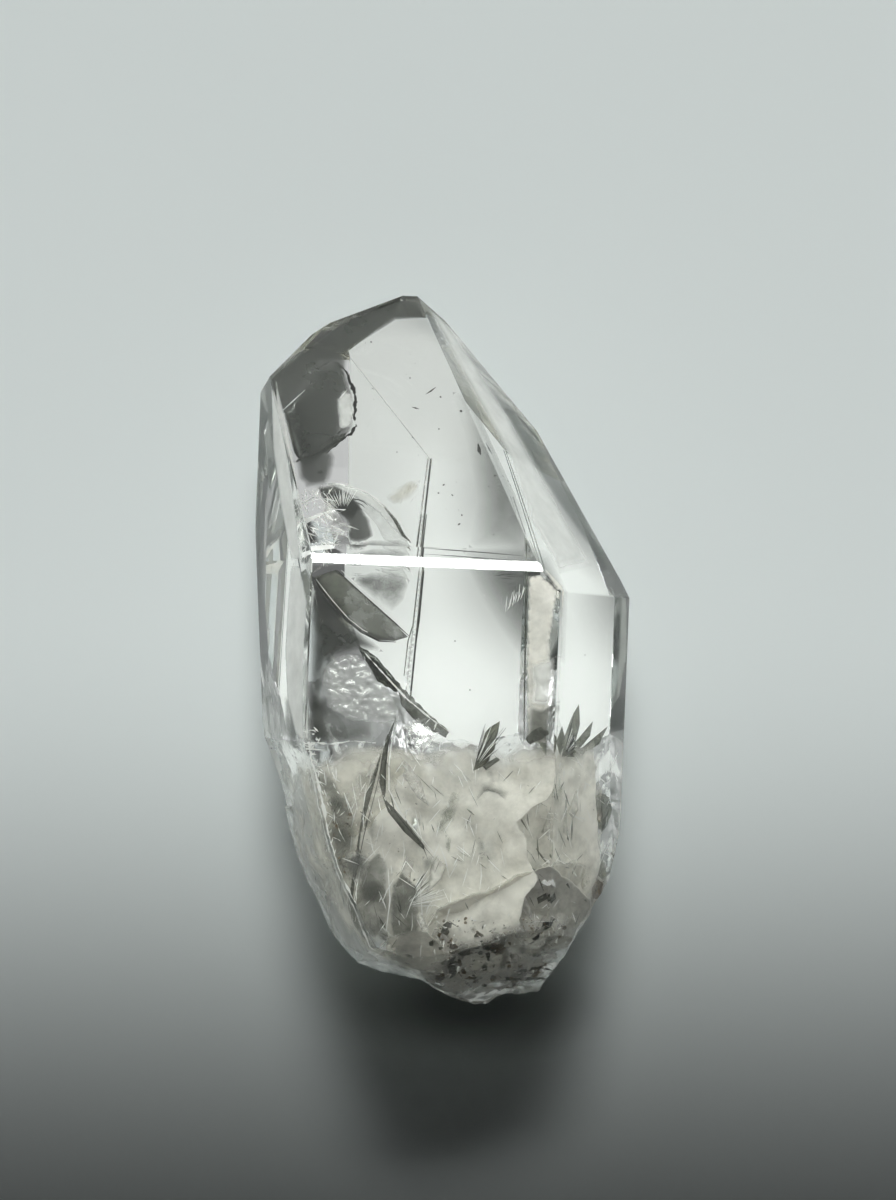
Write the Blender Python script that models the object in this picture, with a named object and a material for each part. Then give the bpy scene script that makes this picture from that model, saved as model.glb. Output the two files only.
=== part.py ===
"""Himalayan quartz crystal: one clear point, broken off its rock at the lower end.

The crystal lies on its rear prism face. +Y runs along the crystal's long axis
(the c-axis) towards the tip, +Z points up through the large front prism face,
and the rear prism face rests on z = 0. The origin is under the middle of the
bounding box. Lengths in the tables are millimetres, angles are degrees.

A face is set by three numbers: its azimuth round the long axis, counted from
straight up towards +X; the slope of its outward normal, 0 for a prism face and
positive where it leans towards the tip; and its distance from CORE, the middle
of the crystal's thickness. Terminal faces of quartz lean 38.2 degrees.
"""
import bpy
import bmesh
from math import radians, sin, cos
from mathutils import Vector, noise

MM = 0.001
TERMINAL = 38.2            # slope of the rhombohedral end faces
THICKNESS = 19.81          # rear prism face to front prism face
BLOCK = 60.0               # half size of the block the faces are cut from
ROOT = 29.0                # where the block ends below CORE, past every break
CELL = 1.15                # spacing of the points on a broken surface
SOAK = 26.0                # half width of a broken surface's sheet

# Natural growth faces: azimuth, slope, distance from CORE.
FACES = {
    "front_prism":          (0.0, 0.0, THICKNESS / 2),
    "front_terminal":       (0.0, TERMINAL, 9.39),
    "front_step":           (0.0, 19.0, 9.98),
    "left_prism":           (-67.5, 0.0, 11.83),
    "right_prism":          (60.0, 0.0, 11.14),
    "right_terminal":       (61.0, TERMINAL, 9.21),
    "corner_bevel":         (26.5, 21.9, 11.44),
    "rear_prism":           (180.0, 0.0, THICKNESS / 2),
    "right_rear_prism":     (122.4, 0.0, 9.64),
    "right_shoulder":       (122.0, 9.0, 9.845),
    "left_rear_bevel":      (-159.8, 1.15, 9.96),
    "left_rear_prism":      (-133.3, 0.0, 10.63),
    "left_rear_taper":      (-126.5, -12.5, 10.29),
    "rear_steep":           (180.0, 14.75, 11.06),
    "rear_terminal":        (180.0, TERMINAL, 16.74),
    "left_rear_terminal":   (-139.0, TERMINAL, 17.91),
    "left_terminal":        (-90.0, TERMINAL, 18.93),
    "left_terminal_bevel":  (-114.0, TERMINAL, 18.93),
    "right_rear_terminal":  (120.0, TERMINAL, 13.76),
}

# Broken surfaces of the lower end: azimuth, slope, distance, roughness and,
# where a break stops at a step, the plane that it stops at.
UPPER = (0.0, -90.0, 14.0)       # a break that only exists above the left step
LOWER = (0.0, 90.0, -13.9)       # a break that only exists below it
BREAKS = {
    "break_left_rear_up":   (-132.3, -24.3, 10.70, 0.30, UPPER),
    "break_left_up":        (-67.1, -15.1, 13.95, 0.18, UPPER),
    "break_left_rear_mid":  (-131.8, -9.1, 7.68, 0.20, LOWER),
    "break_left_mid":       (-65.9, -13.3, 13.68, 0.18, LOWER),
    "break_left_rear_low":  (-133.2, -24.2, 11.45, 0.30, None),
    "break_left_low":       (-64.0, -22.7, 15.88, 0.22, None),
    "break_rear":           (178.7, -34.5, 14.10, 0.90, None),
    "break_right_rear":     (118.2, -5.6, 11.78, 0.20, None),
    "break_front_left":     (-24.1, -65.2, 24.70, 0.26, None),
    "break_foot_left":      (-111.7, -58.1, 21.38, 0.20, None),
    "break_right_up":       (98.5, -15.4, 15.53, 0.20, None),
    "break_right_mid":      (86.7, -29.1, 19.02, 0.22, None),
    "break_right_low":      (82.3, -30.5, 19.48, 0.22, None),
    "break_end":            (60.4, -75.9, 27.20, 0.26, None),
    "break_front":          (27.0, -54.2, 23.60, 0.40, None),
    # the foot is stepped: left of a wall a wedge is missing under the ledge
    "break_ledge":          (-54.6, -80.2, 25.08, 0.16, (90.0, 39.6, -16.35)),
}


def direction(azimuth, slope):
    a, s = radians(azimuth), radians(slope)
    return Vector((cos(s) * sin(a), sin(s), cos(s) * cos(a)))


def block(half):
    bm = bmesh.new()
    bmesh.ops.create_cube(bm, size=2.0 * half * MM)
    return bm


def cut(bm, normal, distance):
    """Cut a solid by a plane and close the cut with one flat face."""
    geom = bm.verts[:] + bm.edges[:] + bm.faces[:]
    bmesh.ops.bisect_plane(bm, geom=geom, dist=1e-8, plane_co=normal * distance * MM,
                           plane_no=normal, clear_outer=True)
    rim = [e for e in bm.edges if e.is_boundary]
    if rim:
        bmesh.ops.holes_fill(bm, edges=rim, sides=0)


def rough(p, amount):
    """Depth of a break below its plane: shallow shells with small steps."""
    q = p / MM
    shell = noise.noise(q * 0.23 + Vector((3.1, 7.7, 1.9)))
    facet = noise.ridged_multi_fractal(q * 0.42, 0.9, 2.1, 3, 1.0, 1.6)
    grain = noise.noise(q * 1.3 + Vector((9.2, 0.4, 5.5)))
    return amount * (-0.30 + 0.75 * shell - 0.28 * (facet - 0.9) + 0.22 * grain)


def sheet(name, azimuth, slope, distance, amount, stop):
    """A closed slab outside a break's plane; its inner side is the rough surface."""
    n = direction(azimuth, slope)
    u = n.orthogonal().normalized()
    v = n.cross(u)
    steps = int(2 * SOAK / CELL)
    bm = bmesh.new()
    low, high = [], []
    for i in range(steps + 1):
        row_l, row_h = [], []
        for j in range(steps + 1):
            a = (i / steps - 0.5) * 2 * SOAK
            b = (j / steps - 0.5) * 2 * SOAK
            flat = (n * distance + u * a + v * b) * MM
            rim = i in (0, steps) or j in (0, steps)
            row_l.append(bm.verts.new(flat + n * rough(flat, amount) * MM))
            row_h.append(bm.verts.new(flat + n * 30.0 * MM) if rim else None)
        low.append(row_l)
        high.append(row_h)
    for i in range(steps):
        for j in range(steps):
            a, b, c, d = low[i][j], low[i + 1][j], low[i + 1][j + 1], low[i][j + 1]
            if (i + j) % 2:
                bm.faces.new((a, d, c))
                bm.faces.new((a, c, b))
            else:
                bm.faces.new((a, d, b))
                bm.faces.new((b, d, c))
    ring_l = [low[i][0] for i in range(steps)] + [low[steps][j] for j in range(steps)] \
        + [low[i][steps] for i in range(steps, 0, -1)] + [low[0][j] for j in range(steps, 0, -1)]
    ring_h = [high[i][0] for i in range(steps)] + [high[steps][j] for j in range(steps)] \
        + [high[i][steps] for i in range(steps, 0, -1)] + [high[0][j] for j in range(steps, 0, -1)]
    count = len(ring_l)
    for k in range(count):
        m = (k + 1) % count
        bm.faces.new((ring_l[k], ring_l[m], ring_h[m], ring_h[k]))
    bm.faces.new(ring_h)
    if stop:
        cut(bm, direction(stop[0], stop[1]), stop[2])
    bmesh.ops.recalc_face_normals(bm, faces=bm.faces[:])
    mesh = bpy.data.meshes.new(name)
    bm.to_mesh(mesh)
    bm.free()
    obj = bpy.data.objects.new(name, mesh)
    obj.display_type = "WIRE"
    obj.hide_render = True
    bpy.context.scene.collection.objects.link(obj)
    return obj


def material():
    mat = bpy.data.materials.new("clear_quartz")
    mat.use_nodes = True
    bsdf = mat.node_tree.nodes["Principled BSDF"]
    bsdf.inputs["Base Color"].default_value = (0.93, 0.95, 0.94, 1.0)
    bsdf.inputs["Roughness"].default_value = 0.03
    bsdf.inputs["Metallic"].default_value = 0.0
    bsdf.inputs["IOR"].default_value = 1.544
    bsdf.inputs["Transmission Weight"].default_value = 1.0
    return mat


def main():
    for obj in list(bpy.data.objects):
        bpy.data.objects.remove(obj, do_unlink=True)

    # The grown shape: a block trimmed by every growth face.
    bm = block(BLOCK)
    cut(bm, direction(0.0, -90.0), ROOT)
    for azimuth, slope, distance in FACES.values():
        cut(bm, direction(azimuth, slope), distance)
    bmesh.ops.recalc_face_normals(bm, faces=bm.faces[:])
    mesh = bpy.data.meshes.new("quartz_crystal")
    bm.to_mesh(mesh)
    bm.free()
    crystal = bpy.data.objects.new("quartz_crystal", mesh)
    bpy.context.scene.collection.objects.link(crystal)

    # The broken lower end: each break takes away what lies outside it.
    cutters = [sheet(name, *row) for name, row in BREAKS.items()]
    for cutter in cutters:
        mod = crystal.modifiers.new(cutter.name, "BOOLEAN")
        mod.operation = "DIFFERENCE"
        mod.solver = "EXACT"
        mod.object = cutter
    bpy.context.view_layer.update()
    graph = bpy.context.evaluated_depsgraph_get()
    shaped = bpy.data.meshes.new_from_object(crystal.evaluated_get(graph))
    crystal.modifiers.clear()
    crystal.data = shaped
    for cutter in cutters:
        bpy.data.objects.remove(cutter, do_unlink=True)

    # Clean the seams, then set the origin under the middle of the box.
    bm = bmesh.new()
    bm.from_mesh(shaped)
    bmesh.ops.remove_doubles(bm, verts=bm.verts[:], dist=2e-7)
    bmesh.ops.dissolve_degenerate(bm, edges=bm.edges[:], dist=2e-7)
    bmesh.ops.triangulate(bm, faces=bm.faces[:])
    xs = [v.co.x for v in bm.verts]
    ys = [v.co.y for v in bm.verts]
    zs = [v.co.z for v in bm.verts]
    shift = Vector((-(min(xs) + max(xs)) / 2, -(min(ys) + max(ys)) / 2, -min(zs)))
    for v in bm.verts:
        v.co += shift
    bmesh.ops.recalc_face_normals(bm, faces=bm.faces[:])
    bm.to_mesh(shaped)
    bm.free()
    shaped.name = "quartz_crystal"
    shaped.materials.clear()
    shaped.materials.append(material())


main()
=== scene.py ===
"""The looks of a clear quartz point: polished growth faces, a rough broken lower
end, and the fractures, veils and specks sealed inside it, on a pale floor."""
from math import radians, sin, cos, tan, pi
import bpy
import bmesh
import numpy as np
from mathutils import Matrix, Vector
from mathutils.bvhtree import BVHTree
from mathutils.geometry import delaunay_2d_cdt


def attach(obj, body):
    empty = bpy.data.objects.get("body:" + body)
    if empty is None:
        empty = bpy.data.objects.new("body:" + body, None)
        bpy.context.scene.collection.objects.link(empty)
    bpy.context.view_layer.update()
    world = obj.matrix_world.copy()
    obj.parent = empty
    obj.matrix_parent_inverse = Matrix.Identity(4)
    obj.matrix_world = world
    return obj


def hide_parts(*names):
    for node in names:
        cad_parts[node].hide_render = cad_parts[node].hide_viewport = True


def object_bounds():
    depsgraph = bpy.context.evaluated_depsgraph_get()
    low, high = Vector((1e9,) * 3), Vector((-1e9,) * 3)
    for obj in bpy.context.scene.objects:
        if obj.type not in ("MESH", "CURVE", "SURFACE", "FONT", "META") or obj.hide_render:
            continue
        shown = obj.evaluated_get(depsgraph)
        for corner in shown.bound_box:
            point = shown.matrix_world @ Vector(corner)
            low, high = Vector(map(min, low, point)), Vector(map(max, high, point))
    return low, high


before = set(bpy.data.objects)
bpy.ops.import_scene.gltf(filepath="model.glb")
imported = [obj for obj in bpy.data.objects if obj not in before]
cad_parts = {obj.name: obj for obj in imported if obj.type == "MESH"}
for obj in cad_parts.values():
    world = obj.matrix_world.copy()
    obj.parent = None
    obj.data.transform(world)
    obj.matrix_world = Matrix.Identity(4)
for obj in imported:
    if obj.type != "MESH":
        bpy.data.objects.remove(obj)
CAD_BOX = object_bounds()

MM = 0.001
IOR = 1.544
THICKNESS = 19.81

# Growth faces: azimuth round the long axis from straight up towards +X, slope
# towards the tip, distance in mm from the middle of the thickness.
FACES = {
    "front_prism":          (0.0, 0.0, THICKNESS / 2),
    "front_terminal":       (0.0, 38.2, 9.39),
    "front_step_high":      (0.0, 28.0, 9.813),
    "front_step_low":       (0.0, 17.5, 10.054),
    "left_prism":           (-67.5, 0.0, 11.83),
    "right_prism":          (60.0, 0.0, 11.14),
    "right_terminal":       (61.0, 38.2, 9.21),
    "corner_bevel":         (26.5, 21.9, 11.44),
    "rear_prism":           (180.0, 0.0, THICKNESS / 2),
    "right_rear_prism":     (122.4, 0.0, 9.64),
    "right_shoulder":       (122.0, 9.0, 9.845),
    "left_rear_bevel":      (-159.8, 1.15, 9.96),
    "left_rear_prism":      (-133.3, 0.0, 10.63),
    "left_rear_taper":      (-126.5, -12.5, 10.29),
    "rear_steep":           (180.0, 14.75, 11.06),
    "rear_terminal":        (180.0, 38.2, 16.74),
    "left_rear_terminal":   (-139.0, 38.2, 17.91),
    "left_terminal":        (-90.0, 38.2, 18.93),
    "left_terminal_bevel":  (-114.0, 38.2, 18.93),
    "right_rear_terminal":  (120.0, 38.2, 13.76),
}
ROOT = 29.0

# Broken surfaces: azimuth, slope, distance, relief in mm, scallop size in mm,
# and the plane where the break stops, if it does.
UPPER = (0.0, -90.0, 14.0)
LOWER = (0.0, 90.0, -13.9)
BREAKS = {
    "break_left_rear_up":   (-132.3, -24.3, 10.70, 0.30, 2.6, UPPER),
    "break_left_up":        (-67.1, -15.1, 13.95, 0.18, 2.4, UPPER),
    "break_left_rear_mid":  (-131.8, -9.1, 7.68, 0.20, 2.6, LOWER),
    "break_left_mid":       (-65.9, -13.3, 13.68, 0.18, 2.2, LOWER),
    "break_left_rear_low":  (-133.2, -24.2, 11.45, 0.30, 3.0, None),
    "break_left_low":       (-64.0, -22.7, 15.88, 0.22, 2.2, None),
    "break_rear":           (178.7, -34.5, 14.10, 0.90, 3.4, None),
    "break_right_rear":     (118.2, -5.6, 11.78, 0.20, 2.8, None),
    "break_front_left":     (-24.1, -65.2, 24.70, 0.26, 2.4, None),
    "break_foot_left":      (-111.7, -58.1, 21.38, 0.20, 2.0, None),
    "break_right_up":       (98.5, -15.4, 15.53, 0.20, 2.4, None),
    "break_right_mid":      (86.7, -29.1, 19.02, 0.22, 2.2, None),
    "break_right_low":      (82.3, -30.5, 19.48, 0.22, 2.0, None),
    "break_end":            (60.4, -75.9, 27.20, 0.26, 1.8, None),
    "break_front":          (27.0, -54.2, 23.60, 0.40, 1.8, None),
    "break_ledge":          (-54.6, -80.2, 25.08, 0.16, 1.6, (90.0, 39.6, -16.35)),
}
CELL = 0.24                # spacing of the points on a broken surface, mm
EDGE = 0.10                # width of a worn edge, mm
EDGES = {                  # edges worn more or less than the rest
    ("front_prism", "right_prism"): 0.19,
    ("front_terminal", "right_terminal"): 0.07,
    ("front_prism", "left_prism"): 0.12,
}


# Hairline steps in the growth faces: two faces that meet, how far the line
# lies from their edge on the first face's side at its top and bottom, width, depth.
GROOVES = [
    ("rear_prism", "left_rear_bevel", 0.00, 0.00, 0.15, 0.11),
    ("left_rear_bevel", "rear_prism", 0.22, 0.46, 0.11, 0.09),
    ("left_rear_bevel", "rear_steep", 0.00, 0.00, 0.05, 0.03),
]


# ---------------------------------------------------------------- helpers
def direction(azimuth, slope):
    a, s = radians(azimuth), radians(slope)
    return Vector((cos(s) * sin(a), sin(s), cos(s) * cos(a)))


def link(obj):
    bpy.context.scene.collection.objects.link(obj)
    return obj


def mesh_object(name, bm, materials=()):
    mesh = bpy.data.meshes.new(name)
    bm.to_mesh(mesh)
    bm.free()
    for m in materials:
        mesh.materials.append(m)
    return link(bpy.data.objects.new(name, mesh))


def cut(bm, normal, distance, index=0):
    """Cut by a plane (mm) and close the cut with one flat face."""
    geom = bm.verts[:] + bm.edges[:] + bm.faces[:]
    bmesh.ops.bisect_plane(bm, geom=geom, dist=1e-8, plane_co=normal * distance * MM,
                           plane_no=normal, clear_outer=True)
    rim = [e for e in bm.edges if e.is_boundary]
    if rim:
        for f in bmesh.ops.holes_fill(bm, edges=rim, sides=0)["faces"]:
            f.material_index = index


class Lattice:
    """Smooth repeatable noise on arrays of points, one lattice per seed."""

    def __init__(self, seed):
        rng = np.random.RandomState(seed)
        self.perm = np.concatenate([rng.permutation(256)] * 3)
        g = rng.normal(size=(256, 3))
        self.grad = g / np.linalg.norm(g, axis=1)[:, None]

    def __call__(self, p):
        p = np.asarray(p, float)
        i = np.floor(p).astype(int)
        f = p - i
        w = f * f * f * (f * (f * 6 - 15) + 10)
        i &= 255
        total = np.zeros(len(p))
        for dx in (0, 1):
            for dy in (0, 1):
                for dz in (0, 1):
                    h = self.perm[self.perm[self.perm[(i[:, 0] + dx) & 255] + ((i[:, 1] + dy) & 255)] + ((i[:, 2] + dz) & 255)]
                    g = self.grad[h]
                    d = f - np.array((dx, dy, dz))
                    k = ((w[:, 0] if dx else 1 - w[:, 0]) * (w[:, 1] if dy else 1 - w[:, 1])
                         * (w[:, 2] if dz else 1 - w[:, 2]))
                    total += k * np.einsum("ij,ij->i", g, d)
        return total * 1.6


def relief(p, u, v, amount, size, seed):
    """Height in mm of a break over its plane: scooped shells that meet in sharp
    ridges, ripples round each scoop's start, and fine hackle."""
    n = Lattice(seed)
    rng = np.random.RandomState(seed + 1)
    lo_u, hi_u, lo_v, hi_v = u.min(), u.max(), v.min(), v.max()
    count = max(3, int((hi_u - lo_u) * (hi_v - lo_v) / (size * size)))
    cu = rng.uniform(lo_u, hi_u, count)
    cv = rng.uniform(lo_v, hi_v, count)
    depth = amount * rng.uniform(0.15, 1.1, count)
    bend = amount / (size * size) * rng.uniform(0.5, 1.5, count)
    skew = rng.uniform(-0.25, 0.25, (count, 2)) * amount / size
    warp = n(p * 0.55) * size * 0.25
    best = np.full(len(u), 1e9)
    ripple = np.zeros(len(u))
    for k in range(count):
        du, dv = u - cu[k] + warp, v - cv[k] - warp
        r2 = du * du + dv * dv
        h = -depth[k] + bend[k] * r2 + skew[k, 0] * du + skew[k, 1] * dv
        hit = h < best
        best = np.where(hit, h, best)
        ripple = np.where(hit, np.sin(np.sqrt(r2) * (5.0 + 3.0 * (k % 3)) + k), ripple)
    best = np.minimum(best, amount * 0.25)
    fine = n(p * 2.1 + 7.3) * 0.10 + n(p * 4.7 + 1.9) * 0.05
    return best + ripple * 0.016 * (amount / 0.3) ** 0.5 + fine * min(1.0, amount / 0.3) * 0.6


# ---------------------------------------------------------------- the body
def face_name(normal):
    best = max(FACES, key=lambda k: direction(*FACES[k][:2]).dot(normal))
    return best if direction(*FACES[best][:2]).dot(normal) > 0.99999 else ""


def growth_hull(worn_edges):
    """The grown shape: a block trimmed by every growth face, its edges worn by
    a hair so that they catch light."""
    bm = bmesh.new()
    bmesh.ops.create_cube(bm, size=0.12)
    cut(bm, direction(0.0, -90.0), ROOT)
    for azimuth, slope, distance in FACES.values():
        cut(bm, direction(azimuth, slope), distance)
    bmesh.ops.recalc_face_normals(bm, faces=bm.faces[:])
    bm.normal_update()
    if worn_edges:
        worn = []
        for e in bm.edges:
            a, b = e.link_faces[0].normal.copy(), e.link_faces[1].normal.copy()
            if min(a.y, b.y) < -0.9 or e.calc_length() < 0.0008:
                continue
            turn = a.angle(b)
            if turn < radians(24):
                continue
            na, nb = face_name(a), face_name(b)
            width = EDGES.get((na, nb), EDGES.get((nb, na), EDGE))
            mid = (e.verts[0].co + e.verts[1].co) / 2
            n = (a + b).normalized()
            deep = width * tan(turn / 2) / 2
            worn.append((n, n.dot(mid) / MM - deep))
            for side in (a, b):
                m = (n + side).normalized()
                worn.append((m, m.dot(mid) / MM - deep * 0.62 * cos(turn / 4)))
        for n, d in worn:
            cut(bm, n, d)
        bmesh.ops.dissolve_degenerate(bm, edges=bm.edges[:], dist=1e-7)
        bmesh.ops.recalc_face_normals(bm, faces=bm.faces[:])
    return bm


def face_edge(hull, first, second):
    """The two ends (highest first) of the edge where two growth faces meet."""
    for e in hull.edges:
        names = {face_name(f.normal) for f in e.link_faces}
        if names == {first, second}:
            a, b = e.verts[0].co.copy(), e.verts[1].co.copy()
            return (a, b) if a.y > b.y else (b, a)
    return None


def groove(name, hull, first, second, top_off, low_off, width, depth):
    """A thin V cut along an edge, or beside it on the first face."""
    ends = face_edge(hull, first, second)
    a, b = ends
    n = direction(*FACES[first][:2])
    out = direction(*FACES[second][:2])
    along = (a - b).normalized()
    across = along.cross(n).normalized()
    if across.dot(out) > 0:
        across = -across
    if top_off == 0.0 and low_off == 0.0:
        n = (n + out).normalized()
        across = along.cross(n).normalized()
    a = a + across * top_off * MM + along * 0.15 * MM
    b = b + across * low_off * MM - along * 0.6 * MM
    along = (a - b).normalized()
    bm = bmesh.new()
    rings = []
    for c in (b, a):
        rings.append([bm.verts.new(c + across * width / 2 * MM + n * 0.002 * MM),
                      bm.verts.new(c - n * depth * MM),
                      bm.verts.new(c - across * width / 2 * MM + n * 0.002 * MM),
                      bm.verts.new(c + n * 0.5 * MM)])
    for k in range(4):
        m = (k + 1) % 4
        bm.faces.new((rings[0][k], rings[0][m], rings[1][m], rings[1][k]))
    bm.faces.new(rings[0][::-1])
    bm.faces.new(rings[1])
    bmesh.ops.recalc_face_normals(bm, faces=bm.faces[:])
    return mesh_object(name, bm)


def sheet(name, azimuth, slope, distance, amount, size, stop, seed, hull):
    """A closed slab outside a break's plane. Its inner side is the broken
    surface, only as wide as the crystal is there."""
    n = direction(azimuth, slope)
    probe = hull.copy()
    cut(probe, n, distance + 0.4)
    if stop:
        cut(probe, direction(stop[0], stop[1]), stop[2] + 0.3)
    plane = [w.co for w in probe.verts if abs(n.dot(w.co) / MM - distance - 0.4) < 0.02]
    e1 = n.orthogonal().normalized()
    e2 = n.cross(e1)
    us = [e1.dot(c) / MM for c in plane]
    vs = [e2.dot(c) / MM for c in plane]
    probe.free()
    if not us:
        return None
    lo_u, hi_u, lo_v, hi_v = min(us) - 2.0, max(us) + 2.0, min(vs) - 2.0, max(vs) + 2.0
    nu, nv = int((hi_u - lo_u) / CELL) + 2, int((hi_v - lo_v) / CELL) + 2
    gu, gv = np.meshgrid(np.linspace(lo_u, hi_u, nu), np.linspace(lo_v, hi_v, nv), indexing="ij")
    jit = np.random.RandomState(seed).uniform(-0.22, 0.22, (2, nu, nv)) * CELL
    jit[:, 0, :] = jit[:, -1, :] = 0
    jit[:, :, 0] = jit[:, :, -1] = 0
    u, v = (gu + jit[0]).ravel(), (gv + jit[1]).ravel()
    nn, a1, a2 = np.array(n[:]), np.array(e1[:]), np.array(e2[:])
    flat = nn * distance + u[:, None] * a1 + v[:, None] * a2
    low = flat + nn * relief(flat, u, v, amount, size, seed)[:, None]
    bm = bmesh.new()
    grid = [bm.verts.new(c * MM) for c in low]
    for i in range(nu - 1):
        for j in range(nv - 1):
            a, b = grid[i * nv + j], grid[(i + 1) * nv + j]
            c, d = grid[(i + 1) * nv + j + 1], grid[i * nv + j + 1]
            if (i + j) % 2:
                bm.faces.new((a, d, c)); bm.faces.new((a, c, b))
            else:
                bm.faces.new((a, d, b)); bm.faces.new((b, d, c))
    ring = [i * nv for i in range(nu - 1)] + [(nu - 1) * nv + j for j in range(nv - 1)] \
        + [i * nv + nv - 1 for i in range(nu - 1, 0, -1)] + [j for j in range(nv - 1, 0, -1)]
    top = [bm.verts.new((flat[k] + nn * 30.0) * MM) for k in ring]
    for k in range(len(ring)):
        m = (k + 1) % len(ring)
        bm.faces.new((grid[ring[k]], grid[ring[m]], top[m], top[k]))
    bm.faces.new(top)
    if stop:
        cut(bm, direction(stop[0], stop[1]), stop[2])
    for f in bm.faces:
        f.material_index = 1
    bmesh.ops.recalc_face_normals(bm, faces=bm.faces[:])
    return mesh_object(name, bm)


def carve(obj, cutters, solver="MANIFOLD"):
    """Take the cutters away from obj and remove them."""
    for c in cutters:
        m = obj.modifiers.new(c.name, "BOOLEAN")
        m.operation = "DIFFERENCE"
        m.solver = solver
        m.object = c
    bpy.context.view_layer.update()
    graph = bpy.context.evaluated_depsgraph_get()
    shaped = bpy.data.meshes.new_from_object(obj.evaluated_get(graph))
    obj.modifiers.clear()
    obj.data = shaped
    for c in cutters:
        bpy.data.objects.remove(c, do_unlink=True)
    return obj


# ---------------------------------------------------------------- materials
def new_material(name):
    mat = bpy.data.materials.new(name)
    mat.use_nodes = True
    return mat, mat.node_tree, mat.node_tree.nodes["Principled BSDF"]


def clear_glass(bsdf, tree, roughness=0.0):
    bsdf.inputs["Base Color"].default_value = (1.0, 1.0, 1.0, 1.0)
    bsdf.inputs["Transmission Weight"].default_value = 1.0
    bsdf.inputs["IOR"].default_value = IOR
    bsdf.inputs["Roughness"].default_value = roughness
    soak = tree.nodes.new("ShaderNodeVolumeAbsorption")
    soak.inputs["Color"].default_value = (0.80, 0.88, 0.84, 1.0)
    soak.inputs["Density"].default_value = 6.0
    tree.links.new(soak.outputs[0], tree.nodes["Material Output"].inputs["Volume"])


def polished_material():
    """Growth faces: glassy, with faint growth lines across the long axis and
    a few dull rubbed spots."""
    mat, tree, bsdf = new_material("clear_quartz_face")
    clear_glass(bsdf, tree)
    nodes, links = tree.nodes, tree.links
    where = nodes.new("ShaderNodeTexCoord")
    rubbed = nodes.new("ShaderNodeTexNoise")
    rubbed.inputs["Scale"].default_value = 420.0
    rubbed.inputs["Detail"].default_value = 8.0
    links.new(where.outputs["Object"], rubbed.inputs["Vector"])
    dull = nodes.new("ShaderNodeMapRange")
    dull.inputs["From Min"].default_value = 0.62
    dull.inputs["From Max"].default_value = 0.78
    dull.inputs["To Min"].default_value = 0.0
    dull.inputs["To Max"].default_value = 0.05
    links.new(rubbed.outputs["Fac"], dull.inputs["Value"])
    links.new(dull.outputs[0], bsdf.inputs["Roughness"])
    stretch = nodes.new("ShaderNodeMapping")
    stretch.inputs["Scale"].default_value = (90.0, 2600.0, 90.0)
    links.new(where.outputs["Object"], stretch.inputs["Vector"])
    lines = nodes.new("ShaderNodeTexNoise")
    lines.inputs["Scale"].default_value = 1.0
    lines.inputs["Detail"].default_value = 3.0
    links.new(stretch.outputs[0], lines.inputs["Vector"])
    bump = nodes.new("ShaderNodeBump")
    bump.inputs["Strength"].default_value = 0.10
    bump.inputs["Distance"].default_value = 0.000004
    links.new(lines.outputs["Fac"], bump.inputs["Height"])
    links.new(bump.outputs[0], bsdf.inputs["Normal"])
    return mat


def broken_material():
    mat, tree, bsdf = new_material("clear_quartz_break")
    clear_glass(bsdf, tree)
    bsdf.inputs["Transmission Weight"].default_value = 0.84
    nodes, links = tree.nodes, tree.links
    where = nodes.new("ShaderNodeTexCoord")
    grain = nodes.new("ShaderNodeTexNoise")
    grain.inputs["Scale"].default_value = 900.0
    grain.inputs["Detail"].default_value = 6.0
    links.new(where.outputs["Object"], grain.inputs["Vector"])
    patch = nodes.new("ShaderNodeTexNoise")
    patch.inputs["Scale"].default_value = 260.0
    patch.inputs["Detail"].default_value = 4.0
    links.new(where.outputs["Object"], patch.inputs["Vector"])
    rough = nodes.new("ShaderNodeMapRange")
    rough.inputs["From Min"].default_value = 0.38
    rough.inputs["From Max"].default_value = 0.66
    rough.inputs["To Min"].default_value = 0.04
    rough.inputs["To Max"].default_value = 0.34
    links.new(patch.outputs["Fac"], rough.inputs["Value"])
    links.new(rough.outputs[0], bsdf.inputs["Roughness"])
    bump = nodes.new("ShaderNodeBump")
    bump.inputs["Strength"].default_value = 0.6
    bump.inputs["Distance"].default_value = 0.00012
    links.new(grain.outputs["Fac"], bump.inputs["Height"])
    links.new(bump.outputs[0], bsdf.inputs["Normal"])
    return mat


# ---------------------------------------------------------------- build
FACE_MAT = polished_material()
BREAK_MAT = broken_material()

plain = growth_hull(False)
hull_hi = Vector((max(w.co.x for w in plain.verts), max(w.co.y for w in plain.verts), 0))
SHIFT = Vector((CAD_BOX[1][0] - hull_hi.x, CAD_BOX[1][1] - hull_hi.y, THICKNESS / 2 * MM))

body = mesh_object("quartz_body", growth_hull(True), (FACE_MAT, BREAK_MAT))
cutters = [groove("groove%d" % k, plain, *row) for k, row in enumerate(GROOVES)]
for k, (name, row) in enumerate(BREAKS.items()):
    c = sheet(name, *row, seed=100 + 7 * k, hull=plain)
    if c is not None:
        c.data.materials.append(FACE_MAT)
        c.data.materials.append(BREAK_MAT)
        cutters.append(c)
plain.free()
carve(body, cutters)


def finish_shading(obj, angle):
    mesh = obj.data
    bm = bmesh.new()
    bm.from_mesh(mesh)
    bmesh.ops.remove_doubles(bm, verts=bm.verts[:], dist=1e-7)
    bmesh.ops.dissolve_degenerate(bm, edges=bm.edges[:], dist=1e-7)
    for f in bm.faces:
        f.smooth = f.material_index > 0
    for e in bm.edges:
        if len(e.link_faces) == 2:
            a, b = e.link_faces
            e.smooth = a.material_index == b.material_index and e.calc_face_angle(0) < angle
    bm.to_mesh(mesh)
    bm.free()


finish_shading(body, radians(32))
body.data.transform(Matrix.Translation(SHIFT))
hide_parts("quartz_crystal")
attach(body, "root")
print("BODY tris", sum(len(p.vertices) - 2 for p in body.data.polygons))

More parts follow.
